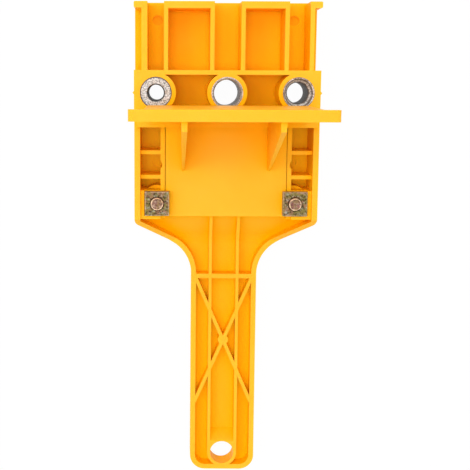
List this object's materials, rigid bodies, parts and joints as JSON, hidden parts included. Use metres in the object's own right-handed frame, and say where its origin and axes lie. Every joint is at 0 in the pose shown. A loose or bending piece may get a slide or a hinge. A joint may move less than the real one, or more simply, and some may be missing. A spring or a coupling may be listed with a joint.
{
  "type": "drill guide",
  "caption": "Hand-held dowelling jig: ribbed moulded handle and head with steel guide bushings and a sliding edge fence clamped by screws in square nuts.",
  "frame": {"origin": "on the axis of the middle guide bore, in the plane of the tool's flat back", "axes": "+X across the tool, +Y towards the top of the head, away from the handle, +Z out of the working side, along the guide bores"},
  "size_m": [0.0716, 0.1897, 0.056],
  "materials": {
    "yellow_abs": "satin moulded ABS, bright yellow",
    "bushing_steel": "turned steel",
    "nut_zinc": "dull yellow-passivated zinc",
    "screw_zinc": "bright zinc, slightly pink"
  },
  "bodies": {
    "frame": {"frame_moulding": "yellow_abs", "bushing_6": "bushing_steel", "bushing_10": "bushing_steel", "bushing_8": "bushing_steel"},
    "fence": {"fence": "yellow_abs"},
    "screw_left": {"clamp_screw_left": "screw_zinc"},
    "screw_right": {"clamp_screw_right": "screw_zinc"},
    "nut_left": {"clamp_nut_left": "nut_zinc"},
    "nut_right": {"clamp_nut_right": "nut_zinc"}
  },
  "joints": [
    {"name": "fence_slide", "type": "slide", "parent": "frame", "child": "fence", "axis": [0, -1, 0], "range_m": [0, 0.0154]},
    {"name": "screw_left_turn", "type": "hinge", "parent": "frame", "child": "screw_left", "pos_m": [-0.02655, -0.0425, 0], "axis": [0, 0, -1], "range_deg": [0, 360]},
    {"name": "screw_right_turn", "type": "hinge", "parent": "frame", "child": "screw_right", "pos_m": [0.02655, -0.0425, 0], "axis": [0, 0, -1], "range_deg": [0, 360]},
    {"name": "nut_left_lift", "type": "slide", "parent": "frame", "child": "nut_left", "axis": [0, 0, 1], "range_m": [0, 0.0008]},
    {"name": "nut_right_lift", "type": "slide", "parent": "frame", "child": "nut_right", "axis": [0, 0, 1], "range_m": [0, 0.0008]}
  ],
  "couplings": [
    {"joint": "screw_left_turn", "follows": "nut_left_lift", "rad_per_m": 7850},
    {"joint": "screw_right_turn", "follows": "nut_right_lift", "rad_per_m": 7850}
  ]
}
